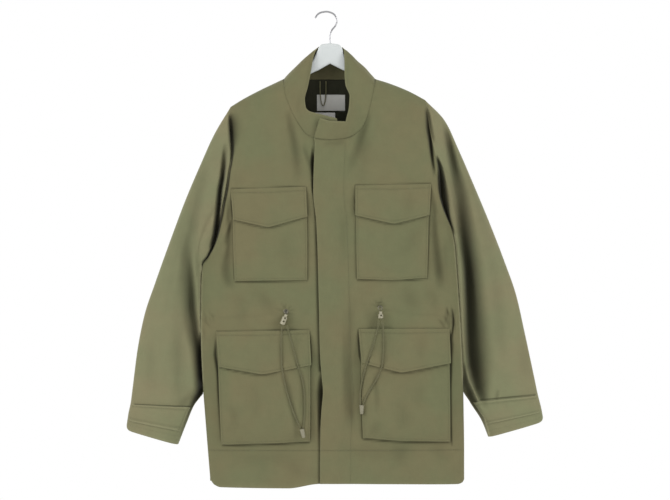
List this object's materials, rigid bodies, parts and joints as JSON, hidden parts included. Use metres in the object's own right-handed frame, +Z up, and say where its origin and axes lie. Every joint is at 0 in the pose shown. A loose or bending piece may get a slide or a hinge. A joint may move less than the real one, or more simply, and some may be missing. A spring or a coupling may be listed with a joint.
{
  "type": "raincoat on a hanger",
  "caption": "Hip-length olive field raincoat with a stand collar, covered front closure, flapped patch pockets and a waist drawcord, hanging flat on a plain hanger.",
  "frame": {"origin": "inner top of the hanger's hook, where a rail holds it", "axes": "+Z up, +Y towards the coat's back, so the front faces -Y; +X to the right seen from the front"},
  "size_m": [0.8336, 0.1066, 0.9546],
  "materials": {
    "olive_cloth": "matte olive poplin, body",
    "olive_trim": "matte olive poplin, pockets and flaps",
    "olive_sleeve": "matte olive poplin, sleeves, a little lighter",
    "olive_cord": "braided olive cord",
    "dark_lining": "dark olive facing",
    "pale_label": "pale grey woven label, bare",
    "beige_plastic": "beige moulded plastic",
    "eyelet_metal": "dark painted eyelet",
    "white_plastic": "white satin plastic",
    "chrome_wire": "polished chrome wire"
  },
  "bodies": {
    "root": {"front_left": "olive_cloth", "front_right": "olive_cloth", "back": "olive_cloth", "placket": "olive_cloth", "collar": "olive_cloth", "chest_pocket_left": "olive_trim", "chest_pocket_right": "olive_trim", "lower_pocket_left": "olive_trim", "lower_pocket_right": "olive_trim", "chest_flap_left": "olive_trim", "chest_flap_right": "olive_trim", "lower_flap_left": "olive_trim", "lower_flap_right": "olive_trim", "sleeve_left": "olive_sleeve", "sleeve_right": "olive_sleeve", "cuff_tab_left": "olive_sleeve", "cuff_tab_right": "olive_sleeve", "drawcord_left_a": "olive_cord", "drawcord_left_b": "olive_cord", "drawcord_right_a": "olive_cord", "drawcord_right_b": "olive_cord", "back_facing": "dark_lining", "hang_loop": "dark_lining", "neck_label": "pale_label", "size_tag": "pale_label", "eyelet_left": "eyelet_metal", "eyelet_right": "eyelet_metal", "cord_lock_left": "beige_plastic", "cord_lock_right": "beige_plastic", "cord_end_left": "beige_plastic", "cord_end_right": "beige_plastic", "hanger_body": "white_plastic", "hanger_hook": "chrome_wire"}
  },
  "joints": []
}
